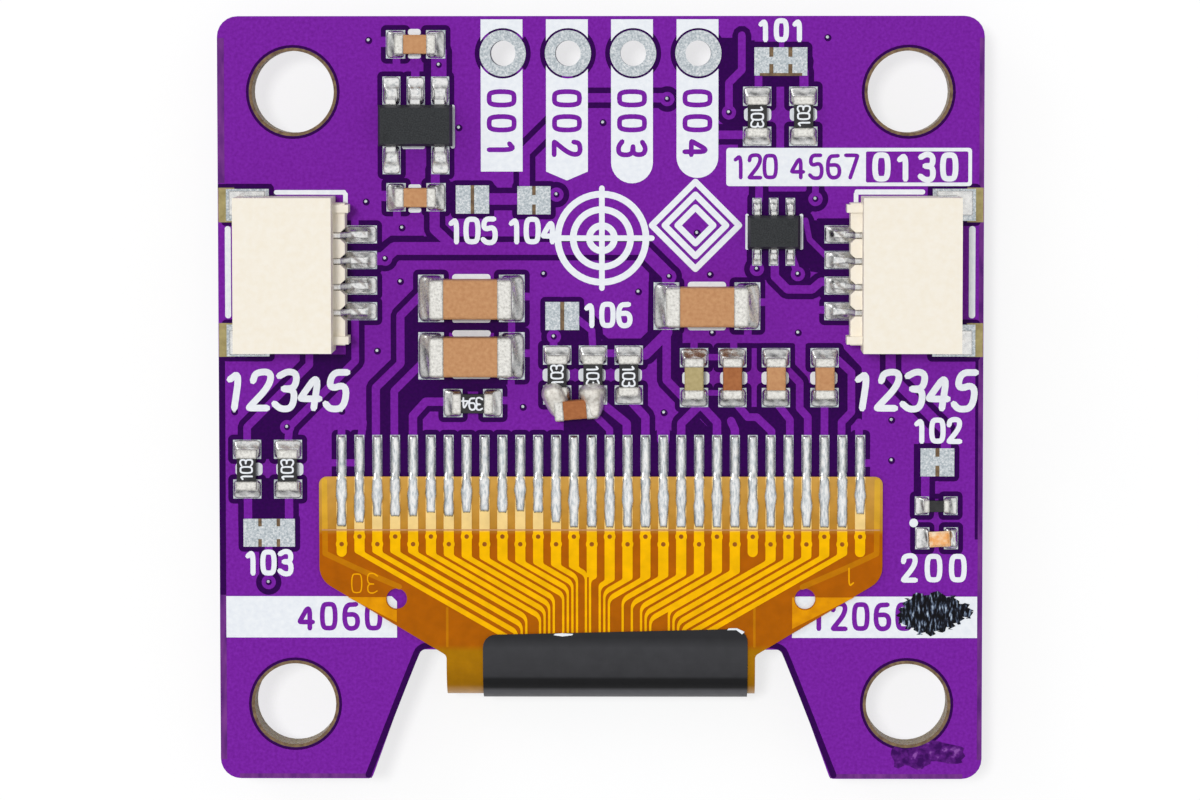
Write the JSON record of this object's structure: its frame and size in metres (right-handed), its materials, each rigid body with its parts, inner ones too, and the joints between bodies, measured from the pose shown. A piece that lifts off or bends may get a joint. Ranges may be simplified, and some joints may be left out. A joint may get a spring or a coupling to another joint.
{
  "type": "small oled display module",
  "caption": "Small square display board lying on its glass panel: notched circuit board, folded ribbon, two side-entry sockets, chips and a row of header holes.",
  "frame": {"origin": "middle of the module's box on the plane that the panel's face rests on", "axes": "+Z out of the component side, +Y towards the header holes, the ribbon's notch on the -Y edge"},
  "size_m": [0.0298, 0.0298, 0.0063],
  "materials": {
    "board": "purple solder mask over glass-epoxy laminate, satin",
    "tin": "tinned copper, slightly uneven",
    "solder": "reflowed solder, bright with grey mottling",
    "socket": "cream moulded nylon",
    "contact": "tin-plated spring metal",
    "film": "amber polyimide film, glossy",
    "foil": "copper foil under amber film",
    "shade": "black tape, matt with a faint grain",
    "glass": "clear polished glass",
    "polarizer": "dark glossy polarizing film",
    "silicon": "bare silicon, smooth",
    "foam": "white double-sided foam tape",
    "moulding": "black epoxy moulding, fine grain",
    "resistor": "black glaze over white ceramic",
    "capacitor": "tan fired ceramic, matt",
    "capacitor_brown": "brown fired ceramic, matt",
    "capacitor_khaki": "khaki fired ceramic, matt",
    "cap_end": "tin-plated terminals",
    "lens": "cast resin lens",
    "led_base": "white laminate",
    "led_end": "gold-flashed terminals"
  },
  "bodies": {
    "root": {"circuit_board": "board", "tinned_pads": "tin", "header_plating": "tin", "polarizer": "polarizer", "front_glass": "glass", "cover_glass": "glass", "display_driver": "silicon", "foam_tape": "foam", "ribbon_film": "film", "ribbon_foil": "foil", "ribbon_solder": "solder", "shading_tape": "shade", "left_socket": "socket", "left_contacts": "contact", "left_anchors": "contact", "right_socket": "socket", "right_contacts": "contact", "right_anchors": "contact", "regulator": "moulding", "regulator_leads": "contact", "level_shifter": "moulding", "level_shifter_leads": "contact", "resistor_1": "resistor", "resistor_2": "resistor", "resistor_3": "resistor", "resistor_4": "resistor", "resistor_5": "resistor", "resistor_6": "resistor", "resistor_7": "resistor", "resistor_8": "resistor", "led_resistor": "resistor", "capacitor_1": "capacitor", "capacitor_2": "capacitor", "capacitor_3": "capacitor_khaki", "capacitor_4": "capacitor_brown", "capacitor_5": "capacitor", "capacitor_6": "capacitor", "added_capacitor": "capacitor_brown", "large_capacitor_1": "capacitor", "large_capacitor_2": "capacitor", "large_capacitor_3": "capacitor", "resistor_ends": "cap_end", "led_resistor_ends": "cap_end", "capacitor_ends": "cap_end", "large_capacitor_ends": "cap_end", "added_capacitor_ends": "cap_end", "added_solder": "solder", "led_base": "led_base", "led_lens": "lens", "led_ends": "led_end", "joint_solder": "solder"}
  },
  "joints": []
}
